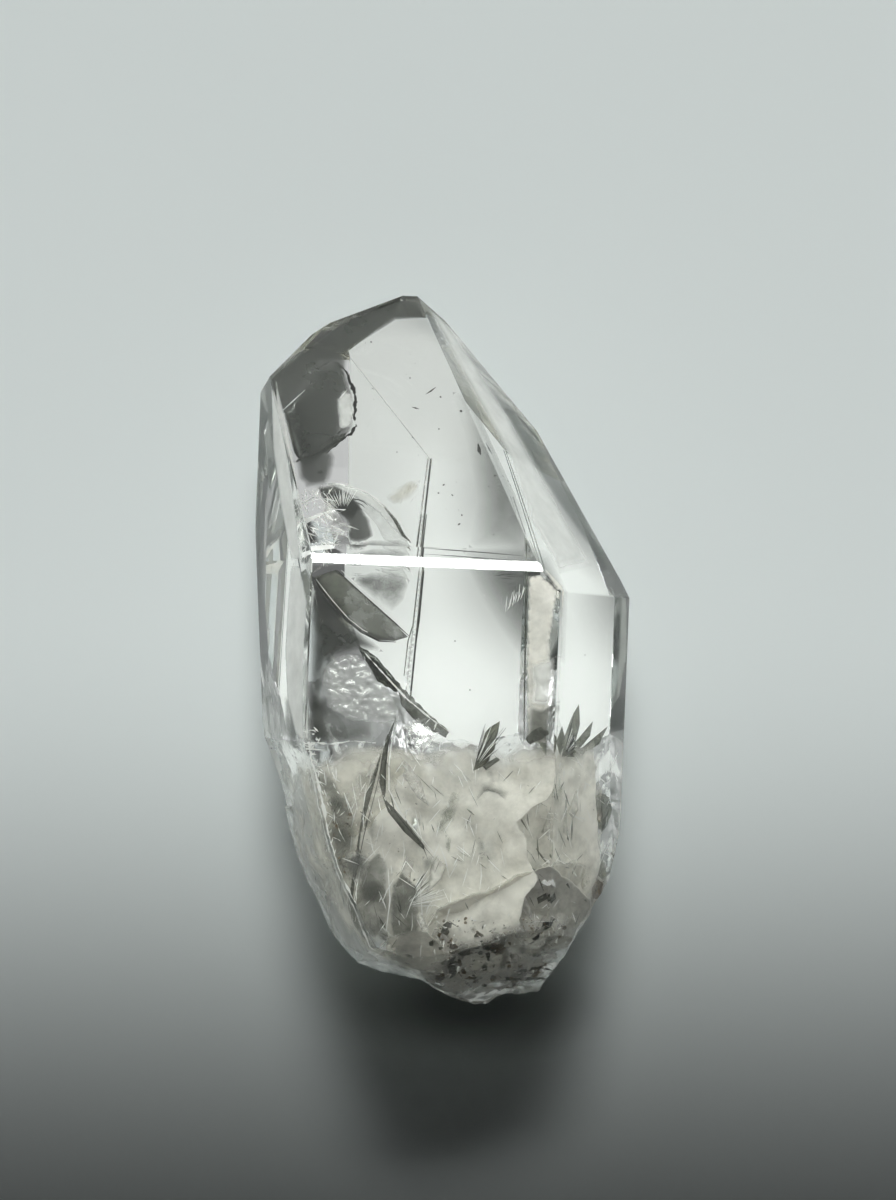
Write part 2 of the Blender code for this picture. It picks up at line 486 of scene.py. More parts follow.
# ---------------------------------------------------------------- sealed inside
PX = 0.06309               # mm on the front face per pixel of a 896 x 1200 picture
TURN = radians(2.3)        # the picture's turn about the vertical
EYE = Vector((SHIFT.x, SHIFT.y, (2200 * PX + THICKNESS) * MM))
PLANES = [(direction(a, sl), d * MM + direction(a, sl).dot(SHIFT)) for a, sl, d in FACES.values()]


skin = bmesh.new()
skin.from_mesh(body.data)
near_skin = BVHTree.FromBMesh(skin)
skin.free()


def look(x, y):
    """The sight line to a picture point: where it enters the crystal, and its
    direction inside, bent by the face that it enters."""
    lx, ly = (x - 448.0) / 2200.0, -(y - 600.0) / 2200.0
    d = Vector((lx * cos(TURN) - ly * sin(TURN), lx * sin(TURN) + ly * cos(TURN), -1.0)).normalized()
    t, n = max(((c - n.dot(EYE)) / n.dot(d), k) for k, (n, c) in enumerate(PLANES) if n.dot(d) < -0.02)
    n = PLANES[n][0]
    k = -n.dot(d) / IOR
    bent = d / IOR + n * (k - (1.0 - (1.0 - k * k * IOR * IOR) / (IOR * IOR)) ** 0.5)
    far = near_skin.ray_cast(EYE, d)[3]
    if far is not None and far > t + 0.1 * MM:          # past a break or a worn edge
        t = far
    return EYE + d * t, bent.normalized()


def at_depth(x, y, depth):
    """The point depth mm below the surface on the sight line to a picture point."""
    p, d = look(x, y)
    return p + d * (depth * MM / -d.z)


def on_plane(points, q, n):
    out = []
    for x, y in points:
        p, d = look(x, y)
        out.append(p + d * (n.dot(q - p) / n.dot(d)))
    return out


GROUPS = {}


def group(name):
    if name not in GROUPS:
        GROUPS[name] = bmesh.new()
        GROUPS[name].verts.layers.float.new("soft")
    return GROUPS[name]


def lens(name, outline, n, thick=0.03, cell=0.35, wave=0.0, size=1.0, jag=0.0, seed=1, soft=0.5):
    """A closed, very thin lens of any outline: one crack, veil or scratch.
    A veil fades out over soft mm towards its rim."""
    u = n.orthogonal().normalized()
    v = n.cross(u)
    c = outline[0]
    flat = [Vector(((q - c).dot(u) / MM, (q - c).dot(v) / MM)) for q in outline]
    area = sum(flat[i - 1].cross(flat[i]) for i in range(len(flat))) / 2
    if area < 0:
        flat.reverse()
    noise = Lattice(seed)
    rim = []
    for i, q in enumerate(flat):
        r = flat[(i + 1) % len(flat)]
        steps = max(1, int((r - q).length / cell + 0.5))
        side = Vector((r.y - q.y, q.x - r.x)).normalized() if (r - q).length > 1e-9 else Vector((0, 0))
        for k in range(steps):
            w = q.lerp(r, k / steps)
            if jag and steps > 1:
                h = noise(np.array([[w.x * 2.3 + 11, w.y * 2.3, seed * 0.37]]))[0]
                h += 0.5 * noise(np.array([[w.x * 6.1, w.y * 6.1 + 5, seed * 0.37]]))[0]
                w = w + side * jag * h
            rim.append(w)
    count = len(rim)
    R = np.array([(w.x, w.y) for w in rim])
    lo, hi = R.min(0), R.max(0)
    gx, gy = np.meshgrid(np.arange(lo[0], hi[0], cell), np.arange(lo[1], hi[1], cell * 0.87))
    gx = gx + (np.arange(gx.shape[0]) % 2)[:, None] * cell / 2
    G = np.stack([gx.ravel(), gy.ravel()], 1)
    A, B = R, np.roll(R, -1, 0)
    ab = B - A
    if len(G):
        inside = np.zeros(len(G), bool)
        near = np.full(len(G), 1e9)
        for i in range(count):
            if abs(ab[i, 1]) > 1e-12:
                cross = ((A[i, 1] > G[:, 1]) != (B[i, 1] > G[:, 1])) & \
                    (G[:, 0] < ab[i, 0] * (G[:, 1] - A[i, 1]) / ab[i, 1] + A[i, 0])
                inside ^= cross
            w = np.clip(((G - A[i]) @ ab[i]) / max(ab[i] @ ab[i], 1e-12), 0, 1)
            near = np.minimum(near, np.linalg.norm(G - A[i] - w[:, None] * ab[i], axis=1))
        keep = inside & (near > cell * 0.45)
        G, near = G[keep], near[keep]
    pts = rim + [Vector(g) for g in G]
    edges = [(i, (i + 1) % count) for i in range(count)]
    vs, _, fs, ov, _, _ = delaunay_2d_cdt(pts, edges, [], 1, 1e-6)
    bm = group(name)
    fade = bm.verts.layers.float["soft"]
    P = np.array([(w.x, w.y) for w in vs])
    lift = noise(np.column_stack([P / size, np.full(len(P), seed * 1.7)])) if wave else np.zeros(len(P))
    if wave:
        lift = lift + 0.45 * noise(np.column_stack([P * 2.3 / size, np.full(len(P), seed * 3.1)]))
    used = {i for f in fs for i in f}
    top, low = {}, {}
    for i in used:
        origin = [k for k in ov[i]]
        edge = any(k < count for k in origin) or not origin
        base = c + (u * P[i, 0] + v * P[i, 1] + n * wave * lift[i]) * MM
        if edge:
            top[i] = low[i] = bm.verts.new(base)
            top[i][fade] = 0.0
        else:
            near_i = min(float(near[k - count]) for k in origin)
            t = thick / 2 * min(1.0, near_i / 0.6) * MM
            top[i], low[i] = bm.verts.new(base + n * t), bm.verts.new(base - n * t)
            top[i][fade] = low[i][fade] = min(1.0, near_i / soft)
    for f in fs:
        if len({*f}) < 3:
            continue
        t = [top[i] for i in f]
        w = [low[i] for i in f][::-1]
        if {*t} == {*w}:
            mid = sum((q.co for q in t), Vector()) / len(t)
            a, b = bm.verts.new(mid + n * thick / 4 * MM), bm.verts.new(mid - n * thick / 4 * MM)
            a[fade] = b[fade] = 0.6
            for k in range(len(t)):
                bm.faces.new((t[k], t[(k + 1) % len(t)], a))
                bm.faces.new((t[(k + 1) % len(t)], t[k], b))
        else:
            bm.faces.new(t)
            bm.faces.new(w)


def plate(name, points, depth, tilt=(0, 0), **kw):
    """A flat crack seen at these picture points, depth mm down at its first
    point, its normal given by azimuth and slope."""
    n = direction(*tilt)
    lens(name, on_plane(points, at_depth(*points[0], depth), n), n, **kw)


def streak(name, points, width, depth, tilt=(0, 0), ends=0.25, **kw):
    """A thin line through picture points; width in pixels, tapering to its ends."""
    line = [Vector(q) for q in points]
    if len(line) == 2:
        line.insert(1, line[0].lerp(line[1], 0.5))
    left, right = [], []
    for i, q in enumerate(line):
        a, b = line[max(0, i - 1)], line[min(len(line) - 1, i + 1)]
        side = Vector((a.y - b.y, b.x - a.x)).normalized()
        w = width / 2 * (ends if i in (0, len(line) - 1) else 1.0)
        left.append((q + side * w)[:])
        right.append((q - side * w)[:])
    kw.setdefault("thick", 0.04)
    plate(name, left + right[::-1], depth, tilt, **kw)


def fan(name, centre, inner, outer, first, last, count, width, depth, seed, tilt=(0, 0)):
    """Hackle: short lines that spread from a point, angles in the picture."""
    rng = np.random.RandomState(seed)
    for k in range(count):
        a = radians(first + (last - first) * (k + rng.uniform(-0.3, 0.3)) / max(1, count - 1))
        r0 = inner * rng.uniform(0.85, 1.25)
        r1 = outer * rng.uniform(0.75, 1.08)
        bend = rng.uniform(-0.06, 0.06)
        pts = [(centre[0] + r * cos(a + bend * (r - inner) / 20), centre[1] + r * sin(a + bend * (r - inner) / 20))
               for r in (r0, (r0 + r1) / 2, r1)]
        streak(name, pts, width * rng.uniform(0.6, 1.3), depth + rng.uniform(-0.1, 0.1), tilt, 0.2)


def scatter(name, box, count, length, width, depth, seed, angle=0.0, spread=180.0):
    """Short scratches thrown over a patch of the picture."""
    rng = np.random.RandomState(seed)
    for k in range(count):
        x, y = rng.uniform(box[0], box[2]), rng.uniform(box[1], box[3])
        a = radians(angle + rng.uniform(-spread, spread))
        h = length * rng.uniform(0.3, 1.0) / 2
        streak(name, [(x - h * cos(a), y - h * sin(a)), (x + h * cos(a), y + h * sin(a))],
               width * rng.uniform(0.5, 1.4), depth + rng.uniform(-0.8, 0.8), (rng.uniform(-25, 25), rng.uniform(-20, 20)))


def speck(name, x, y, radius, depth, stretch=1.0, angle=0.0, seed=0):
    """A small irregular grain; radius in pixels."""
    c = at_depth(x, y, depth)
    turn = Matrix.Rotation(radians(angle), 4, "Z")
    bm = group(name)
    rng = np.random.RandomState(int(x * 7 + y * 13) % 9973 + seed)
    made = bmesh.ops.create_icosphere(bm, subdivisions=1, radius=radius * PX * MM)["verts"]
    for w in made:
        k = 1.0 + rng.uniform(-0.25, 0.25)
        w.co = c + turn @ Vector((w.co.x * k * stretch, w.co.y * k, w.co.z * k * 0.5))


def specks(name, box, count, low, high, depth, seed):
    rng = np.random.RandomState(seed)
    for k in range(count):
        speck(name, rng.uniform(box[0], box[2]), rng.uniform(box[1], box[3]),
              low + (high - low) * rng.uniform(0, 1) ** 3, depth + rng.uniform(-0.6, 0.6),
              rng.uniform(0.8, 2.0), rng.uniform(0, 180), k)


# --- cracks beneath the upper face: an air gap mirrors what is above it, and the dark films there are painted shade
DIM = (0, 8)
plate("painted_shade", [(300, 356), (326, 333), (362, 309), (404, 296), (418, 302), (426, 318), (396, 320), (346, 352), (330, 362)], 0.7, (0, 38), soft=0.25, cell=0.25)
plate("painted_shade", [(271, 379), (300, 352), (344, 343), (347, 352), (346, 372), (352, 392), (355, 412), (352, 430), (336, 445), (316, 462), (302, 472), (292, 440), (280, 405)], 2.2, (-12, 10), soft=0.35, cell=0.3)
plate("cracks", [(284, 412), (305, 390), (322, 368), (338, 364), (344, 374), (336, 402), (336, 432), (318, 452), (302, 464), (294, 452)], 5.0, DIM, wave=0.012, size=2.4, jag=0.03)
plate("haze", [(336, 400), (343, 390), (352, 393), (355, 412), (352, 427), (339, 430)], 1.8, (0, 13), wave=0.02, size=0.8, jag=0.05, seed=3, soft=0.25, cell=0.2)
# a darker copy of the air gap: painted shade in the crack
plate("cracks_darkened", [(318, 441), (337, 436), (349, 431), (341, 440), (326, 452), (313, 463), (304, 466)], 4.4, (-14, 9), wave=0.04, size=0.7, jag=0.05, seed=4)
streak("dark", [(316, 371), (322, 366), (330, 361), (338, 364), (346, 371), (350, 381), (354, 391), (356, 402), (354, 414), (356, 426), (350, 434), (340, 441), (326, 453)], 2.6, 2.0, (0, 8), 0.4, jag=0.16, cell=0.14)
streak("dark", [(295, 463), (306, 455), (318, 449), (330, 439), (341, 431)], 1.8, 2.0, (0, 8), jag=0.16, cell=0.14)
# painted shade: a dark film at the lower end of the cracks
plate("painted_shade", [(296, 462), (312, 455), (330, 447), (336, 458), (332, 476), (326, 486), (306, 488), (298, 478)], 3.2, DIM, jag=0.1, cell=0.2, seed=5, soft=0.5)
speck("white", 320, 472, 3.0, 4.0)
streak("white", [(281, 412), (293, 401), (305, 390)], 1.1, 1.6)
streak("white", [(340, 398), (347, 390)], 1.0, 1.6)

# --- the shell-shaped fracture
plate("film", [(328, 484), (350, 488), (366, 493), (386, 508), (397, 523), (405, 538), (410, 556), (396, 553), (384, 540), (376, 524), (364, 511), (348, 503), (335, 500)], 5.6, (0, 4), wave=0.03)
plate("haze", [(326, 483), (350, 486), (368, 493), (387, 507), (400, 524), (409, 543), (413, 559), (406, 549), (394, 530), (379, 513), (363, 501), (345, 494)], 4.8, (0, 6), wave=0.03, soft=0.12, cell=0.16)
streak("white", [(326, 484), (338, 484), (350, 487), (365, 492), (376, 499), (386, 508)], 2.6, 5.2, (0, 6), 0.2)
streak("slate", [(384, 507), (395, 520), (403, 535), (411, 558)], 3.2, 5.4, (0, 6), 0.3, cell=0.2)
streak("white", [(388, 506), (399, 519), (407, 534), (414, 556)], 1.4, 5.2, (0, 6), 0.3, cell=0.2)
fan("white", (343, 514), 9, 27, 212, 300, 19, 0.95, 3.3, 11)
for k, (r, w) in enumerate(((10.5, 1.5), (14.5, 1.1), (18.0, 1.3))):
    streak("dark", [(354 + r * cos(radians(t)), 517 + r * sin(radians(t))) for t in range(195, 322, 18)], w, 5.1, (0, 6), 0.3, cell=0.2)
# painted shade: a dark film behind the shell
plate("painted_shade", [(318, 488), (334, 488), (348, 494), (360, 505), (370, 520), (373, 536), (366, 547), (354, 549), (347, 540), (348, 524), (338, 512), (326, 506)], 3.8, DIM, jag=0.05, cell=0.2, seed=6, soft=0.2)
# painted shade: grey films inside the shell
plate("painted_grey_shade", [(332, 540), (345, 536), (356, 540), (366, 549), (358, 556), (338, 556)], 5.2, (0, 4), wave=0.02)
plate("painted_grey_shade", [(334, 508), (345, 510), (352, 520), (354, 535), (343, 537), (332, 528)], 5.2, (0, 4), wave=0.03)
streak("white", [(320, 530), (334, 532), (348, 537)], 2.2, 4.8)
plate("amber", [(385, 497), (398, 486), (411, 479), (421, 481), (418, 492), (408, 501), (394, 505)], 7.0, (10, 5), wave=0.03, size=0.6, jag=0.1)
scatter("amber", (390, 482, 418, 502), 26, 10, 1.0, 6.6, 21, -62, 16)
scatter("white", (300, 490, 331, 560), 70, 13, 1.2, 3.0, 22, 70, 60)
# painted shade: a dark film over the shell's upper part
plate("painted_shade", [(316, 486), (336, 485), (350, 493), (361, 506), (354, 520), (340, 516), (326, 504)], 3.6, (0, 6), soft=0.25, cell=0.16)
plate("milk", [(297, 492), (307, 490), (316, 500), (322, 518), (334, 532), (328, 556), (312, 562), (300, 545)], 4.0, (-20, 12), wave=0.12, size=0.8, jag=0.15)
plate("shine", [(300, 512), (315, 505), (330, 519), (322, 536), (306, 540)], 3.4, (0, 14), wave=0.04, size=0.35, jag=0.12, cell=0.14)

# --- the step between the two large front faces
streak("dark", [(424, 548), (450, 550), (490, 553), (525, 556)], 1.0, 0.9, (0, 28))
streak("dark", [(424, 554), (455, 556), (495, 559), (524, 561)], 0.8, 0.9, (0, 28))
scatter("dark", (497, 571, 527, 579), 14, 16, 0.8, 1.2, 31, 2, 5)
# painted shade: short grey films below the step
scatter("painted_grey_shade", (355, 570, 398, 589), 30, 14, 1.6, 2.0, 32, 15, 30)
scatter("white", (340, 556, 420, 568), 20, 22, 0.8, 1.2, 33, 3, 4)

# --- the blade
plate("slate", [(314, 577), (322, 590), (330, 600), (345, 618), (361, 631), (378, 640), (394, 641), (408, 637), (395, 624), (378, 608), (360, 592), (348, 581), (336, 570)], 4.6, (-10, -8), wave=0.02, size=1.2)
streak("dark", [(313, 577), (322, 591), (330, 601), (345, 619), (361, 632), (379, 641), (396, 642)], 1.5, 4.2, (0, -8), 0.4, cell=0.2)
streak("white", [(316, 579), (325, 591), (333, 601), (348, 618), (363, 630), (380, 638)], 0.9, 4.0, (0, -8), 0.4, cell=0.2)
streak("dark", [(337, 570), (348, 581), (360, 592), (378, 608), (396, 624), (409, 636)], 1.5, 4.2, (0, -8), 0.4, cell=0.2)
streak("white", [(341, 570), (352, 580), (364, 591), (382, 607), (399, 622)], 1.1, 4.0, (0, -8), 0.3, cell=0.2)
plate("amber", [(374, 618), (384, 616), (397, 630), (394, 638), (380, 634)], 4.2, (0, -8), wave=0.02)
# painted shade: a dark film over the left middle, beside the blade
plate("painted_shade", [(311, 590), (316, 586), (331, 604), (350, 623), (374, 642), (384, 652), (362, 650), (336, 656), (326, 668), (320, 700), (326, 730), (340, 744), (310, 744), (309, 700), (310, 640)], 5.0, (0, 0), wave=0.1, size=2.0, soft=0.5)
plate("haze", [(298, 575), (303, 590), (310, 636), (309, 700), (306, 742), (298, 742), (297, 640)], 0.8, (-30, 0), soft=0.2, cell=0.2)
# painted shade: a grey film behind the blade
plate("painted_grey_shade", [(350, 578), (372, 572), (398, 572), (410, 580), (404, 600), (392, 612), (374, 600)], 9.0, (0, 0), wave=0.15, size=1.5)

# --- the silvery rippled patch and the dark band beside it
plate("shine", [(318, 668), (332, 656), (352, 652), (366, 658), (380, 675), (396, 700), (402, 720), (385, 724), (352, 722), (326, 708)], 6.0, (0, 4), wave=0.022, size=0.30, jag=0.12, cell=0.14)
# a darker copy of the air gap: painted shade in the dark band
plate("cracks_darkened", [(358, 647), (368, 650), (386, 668), (400, 684), (396, 692), (378, 681)], 5.2, (0, -12), wave=0.03, size=0.6, jag=0.10, cell=0.2)
plate("slate", [(394, 680), (410, 695), (430, 716), (450, 731), (446, 738), (425, 728), (402, 706)], 5.0, (0, -12), wave=0.03, size=0.6, jag=0.12, cell=0.2)
streak("white", [(364, 652), (382, 672), (406, 698), (430, 718), (454, 735)], 1.3, 4.8, (0, 0), 0.3, jag=0.05, cell=0.2)
# painted shade: a grey film below the silvery patch
plate("painted_grey_shade", [(306, 700), (320, 692), (340, 706), (372, 722), (376, 740), (340, 744), (308, 740)], 6.4, (0, 0), wave=0.2)
streak("white", [(305, 742), (330, 744), (352, 741), (376, 743)], 1.4, 3.0, (0, 0), 0.4, jag=0.1, cell=0.2)
scatter("white", (405, 720, 440, 750), 46, 9, 1.4, 4.0, 41, 20, 90)
plate("shine", [(402, 724), (418, 716), (438, 734), (434, 748), (414, 750)], 4.2, (0, 10), wave=0.03, size=0.35, jag=0.1, cell=0.14)

# --- the rear edge seen through the front: a healed groove
streak("slate", [(432, 463), (430, 476), (427, 492), (424, 515), (420, 546)], 1.5, 17.0, (0, 0), 0.6, cell=0.3)
streak("slate", [(428, 478), (424, 500), (421, 515), (417, 546)], 1.2, 16.9, (0, 0), 0.6, cell=0.3)
streak("white", [(429, 474), (425, 500), (419, 540)], 0.9, 16.6, (0, 0), 0.4)
streak("slate", [(419, 571), (413, 625), (408, 641), (404, 676)], 1.3, 17.0, (0, 0), 0.6, cell=0.3)
streak("dark", [(424, 571), (419, 621), (416, 641), (411, 691)], 1.5, 17.0, (0, 0), 0.6, cell=0.3)
# painted shade: a grey film along the groove
plate("painted_grey_shade", [(420, 571), (423, 571), (418, 622), (415, 642), (410, 690), (405, 676), (409, 640), (414, 624)], 17.2, (0, 0))
streak("film", [(344, 357), (380, 400), (415, 440), (432, 460)], 1.0, 14.0, (0, 0), 0.6, cell=0.3)

# --- needles, leaves, petals and chips in the clear part's lower rim
NEEDLE = (20, -10)
plate("slate", [(397, 716), (392, 730), (388, 745), (386, 765), (386, 790), (384, 801), (379, 782), (381, 760), (386, 738)], 1.2, NEEDLE, cell=0.2)
plate("slate", [(383, 798), (392, 806), (408, 824), (433, 857), (424, 850), (404, 832), (388, 812)], 1.2, NEEDLE, cell=0.2)
plate("slate", [(382, 750), (378, 770), (370, 800), (361, 833), (352, 905), (348, 906), (364, 800), (374, 772)], 1.2, NEEDLE, cell=0.2)
streak("white", [(399, 716), (391, 745), (389, 765), (389, 790), (400, 812), (436, 856)], 1.2, 1.0, (0, 0), 0.3, cell=0.25)
streak("dark", [(396, 716), (388, 745), (385, 775), (384, 798)], 0.9, 1.0, (0, 0), 0.3, cell=0.25)
streak("dark", [(386, 800), (406, 826), (434, 858)], 0.9, 1.0, (0, 0), 0.3, cell=0.25)
streak("dark", [(384, 752), (376, 790), (364, 835), (350, 905)], 0.8, 1.0, (0, 0), 0.3, cell=0.25)
plate("olive", [(500, 721), (490, 727), (483, 736), (478, 755), (473, 771), (486, 765), (495, 748)], 1.1, (-30, 6), wave=0.04, size=0.5)
fan("dark", (474, 771), 6, 52, 280, 312, 8, 1.3, 0.9, 51)
fan("white", (473, 770), 10, 50, 284, 316, 8, 1.0, 0.8, 52)
plate("slate", [(482, 766), (497, 757), (500, 760), (486, 770)], 1.0, (0, 6), cell=0.2)
plate("slate", [(525, 739), (532, 731), (541, 726), (550, 733), (540, 740), (530, 744)], 0.9, (0, 6), jag=0.05, cell=0.2)
for k, shape in enumerate(([(562, 757), (565, 735), (572, 716), (579, 704), (580, 724), (574, 748)],
                           [(563, 757), (577, 740), (593, 721), (590, 736), (577, 752)],
                           [(566, 757), (584, 746), (608, 726), (599, 744), (581, 757)],
                           [(560, 756), (556, 742), (562, 726), (566, 740)])):
    plate("olive", shape, 1.2 + 0.2 * k, (60, 6 + 9 * k), wave=0.03, size=0.5, cell=0.2, seed=60 + k)
fan("dark", (563, 757), 6, 54, 288, 326, 12, 1.4, 1.0, 55)
fan("white", (563, 757), 8, 52, 286, 324, 12, 1.0, 0.9, 56)
plate("olive", [(592, 797), (600, 792), (609, 797), (612, 810), (607, 826), (601, 832), (595, 822), (591, 808)], 1.4, (60, -5), wave=0.03, size=0.4, jag=0.06, cell=0.2)
plate("rust", [(595, 811), (599, 808), (603, 813), (602, 821), (597, 823)], 1.1, (60, 0), cell=0.2)
scatter("dark", (593, 796, 609, 828), 16, 14, 1.0, 1.2, 57, -70, 16)
plate("slate", [(525, 767), (528, 766), (534, 799), (530, 795)], 3.0, (0, 0), cell=0.25)
plate("slate", [(564, 808), (567, 807), (569, 841), (566, 838)], 3.0, (0, 0), cell=0.25)
streak("dark", [(550, 867), (559, 866), (569, 868)], 1.6, 2.6)

# --- the comb of scratches and the cloudy strip
rng = np.random.RandomState(61)
for k in range(11):
    x, y = 505 + 1.7 * k + rng.uniform(-0.6, 0.6), 612 - 1.4 * k
    streak("white", [(x, y), (x + rng.uniform(1, 5), y - rng.uniform(8, 17))], 0.9, 1.0)
    if k % 2:
        streak("dark", [(x + 1, y), (x + 4, y - rng.uniform(6, 12))], 0.7, 1.05)
plate("cream", [(528, 576), (541, 574), (558, 590), (560, 640), (559, 700), (556, 744), (527, 744), (526, 660)], 1.1, (4, 0), wave=0.05, size=1.2, soft=0.12, cell=0.2)
plate("haze", [(530, 664), (557, 655), (558, 705), (531, 706)], 0.8, (4, 0), wave=0.05, size=0.8, jag=0.15, seed=7, soft=0.6, cell=0.2)
# painted shade: a grey film at the foot of the cloudy strip
plate("painted_grey_shade", [(528, 704), (540, 708), (557, 700), (557, 742), (527, 744)], 0.7, (4, 0), wave=0.03, jag=0.1, seed=8, soft=0.3, cell=0.2)
streak("slate", [(526.5, 540), (526, 600), (525, 660), (524, 742)], 1.6, 0.7, (0, 0), 0.5, cell=0.2)
# soft grey along the ridge of the two upper end faces: faint dark films of painted shade, and a pale film along the
# right end face
plate("painted_shade_thin", [(452, 392), (474, 398), (498, 440), (524, 496), (523, 548), (468, 548), (478, 500), (466, 440)], 1.0, (0, 38), soft=2.4)
plate("painted_shade_thin", [(462, 548), (552, 552), (552, 664), (524, 662), (500, 628), (480, 594)], 2.0, (0, 0), soft=2.0)
plate("haze", [(424, 300), (440, 312), (478, 366), (512, 420), (545, 480), (592, 566), (560, 574), (530, 520), (505, 452), (470, 388), (436, 326)], 0.5, (61, 38), soft=1.1, cell=0.3)
plate("painted_shade_thin", [(500, 400), (528, 430), (560, 478), (600, 530), (626, 566), (612, 574), (584, 540), (556, 500), (524, 452)], 0.7, (61, 38), soft=0.7, cell=0.3)

# --- ticks and specks in the clear part
for pts, w in (([(426, 394), (431, 391), (436, 387)], 1.6), ([(412, 407), (419, 409)], 1.4), ([(486, 443), (489, 449), (492, 454)], 1.6)):
    streak("dark", pts, w, 1.2)
for x, y, r in ((371, 342, 1.2), (410, 378, 1.0), (440.5, 397, 1.3), (439, 429, 1.0), (438.5, 493, 1.1), (461, 411, 1.6), (276, 770, 2.6), (446, 996, 3.0), (503, 476, 1.3), (508, 481, 1.1), (397, 452, 0.8), (455, 641, 0.8), (470, 690, 0.9), (585, 655, 0.8), (360, 322, 0.9)):
    speck("dark", x, y, r, 1.2 if y < 900 else 0.6)
specks("dark", (438, 470, 515, 535), 14, 0.35, 1.1, 3.0, 71)
specks("dark", (360, 330, 430, 470), 16, 0.3, 0.9, 4.0, 72)
specks("white", (345, 330, 430, 480), 24, 0.3, 0.9, 6.0, 73)
specks("white", (430, 580, 520, 735), 40, 0.3, 0.8, 8.0, 74)
specks("white", (565, 600, 612, 735), 18, 0.3, 0.8, 4.0, 75)
specks("white", (440, 340, 590, 560), 22, 0.3, 0.8, 4.0, 76)

# --- the left face: wedges of bright frost, a hairline, a grainy lower rim
streak("dark", [(293.5, 512), (296, 545), (302, 580), (310, 610)], 1.4, 0.8, (-67, 0), 0.4, cell=0.3)
plate("frost", [(271, 386), (276, 380), (284, 412), (293, 455), (300, 500), (301, 560), (291, 560), (281, 508), (273, 450)], 0.5, (-67, 0), soft=0.3, cell=0.2)
plate("frost", [(291, 566), (300, 566), (307, 600), (309, 650), (308, 700), (304, 742), (296, 736), (287, 700), (285, 650), (288, 600)], 0.5, (-67, 0), wave=0.02, jag=0.06, soft=0.25, cell=0.2)
# painted shade: a dark band along the left face
streak("painted_shade", [(261, 400), (260, 450), (258, 520), (260, 600)], 6.0, 0.5, (-67, 0), 0.3, soft=0.3)
scatter("white", (300, 728, 320, 786), 60, 7, 1.3, 0.8, 81, 60, 60)
scatter("white", (262, 744, 300, 800), 40, 8, 1.1, 0.8, 82, 70, 50)

# --- the milky lower end
END = [(303, 744), (340, 748), (378, 744), (430, 752), (470, 742), (505, 752), (563, 746), (622, 752), (621, 800), (610, 850), (590, 900), (560, 940), (505, 972), (445, 975), (392, 955), (350, 925), (322, 882), (300, 835), (290, 790)]
plate("milk", END, 2.2, (10, -6), wave=0.4, size=2.0, jag=0.3, cell=0.4, seed=91, soft=1.6)
plate("cream", END, 4.6, (-20, 3), wave=0.8, size=3.0, jag=0.3, cell=0.45, seed=92, soft=1.2)
plate("haze", [(292, 786), (303, 756), (316, 790), (330, 850), (350, 900), (378, 948), (384, 960), (356, 944), (322, 885), (302, 838)], 0.9, (-62, -20), wave=0.1, jag=0.1, soft=0.4)
plate("milk", [(x * 0.94 + 27, y * 0.97 + 22) for x, y in END], 11.0, (40, -3), wave=0.8, size=2.2, jag=0.3, cell=0.45, seed=93)
plate("cream", [(508, 748), (560, 742), (622, 745), (622, 800), (611, 850), (592, 900), (560, 936), (520, 940), (490, 860)], 2.4, (24, -6), wave=0.25, size=1.6, jag=0.25, cell=0.35, seed=94, soft=1.1)
plate("cream", [(420, 930), (440, 905), (480, 892), (560, 850), (606, 850), (608, 884), (572, 940), (542, 982), (450, 998), (424, 962)], 2.2, (27, -50), wave=0.12, size=0.9, jag=0.2, cell=0.3, seed=95, soft=0.5)
plate("milk", [(290, 770), (300, 752), (330, 760), (345, 820), (356, 880), (372, 930), (356, 944), (322, 885), (302, 838)], 2.0, (-34, -8), wave=0.12, size=0.9, jag=0.2, cell=0.3, seed=96, soft=0.5)
plate("cream", [(540, 880), (552, 862), (580, 862), (608, 880), (592, 915), (562, 940), (536, 930)], 1.3, (60, -34), wave=0.1, size=0.9, jag=0.15, cell=0.3, seed=97, soft=0.4)
plate("cream", [(386, 938), (420, 925), (446, 945), (452, 992), (424, 966), (392, 960)], 1.0, (-6, -46), wave=0.1, size=0.9, jag=0.15, cell=0.3, seed=99, soft=0.3)
streak("white", [(303, 741), (311, 760), (318, 781), (325, 815), (331, 850), (341, 876), (352, 897), (362, 924), (373, 948), (390, 962)], 2.2, 0.5, (0, 0), 0.3, jag=0.1, cell=0.2)
# painted shadow: grey films where the shadow beneath the end shows through the clear part
plate("painted_grey_shade", [(352, 905), (366, 866), (378, 850), (387, 862), (387, 928), (374, 938), (358, 926)], 1.2, (0, -10), wave=0.04, jag=0.04, soft=0.12, cell=0.2)
plate("painted_grey_shade", [(392, 884), (402, 872), (417, 886), (421, 940), (413, 960), (396, 952), (390, 920)], 1.2, (0, -10), wave=0.04, jag=0.04, soft=0.12, cell=0.2)
streak("white", [(352, 912), (361, 866), (380, 846)], 1.4, 1.0)
streak("white", [(386, 932), (390, 900), (388, 868)], 1.6, 1.0)
streak("white", [(420, 958), (423, 925), (420, 886)], 1.5, 1.0)
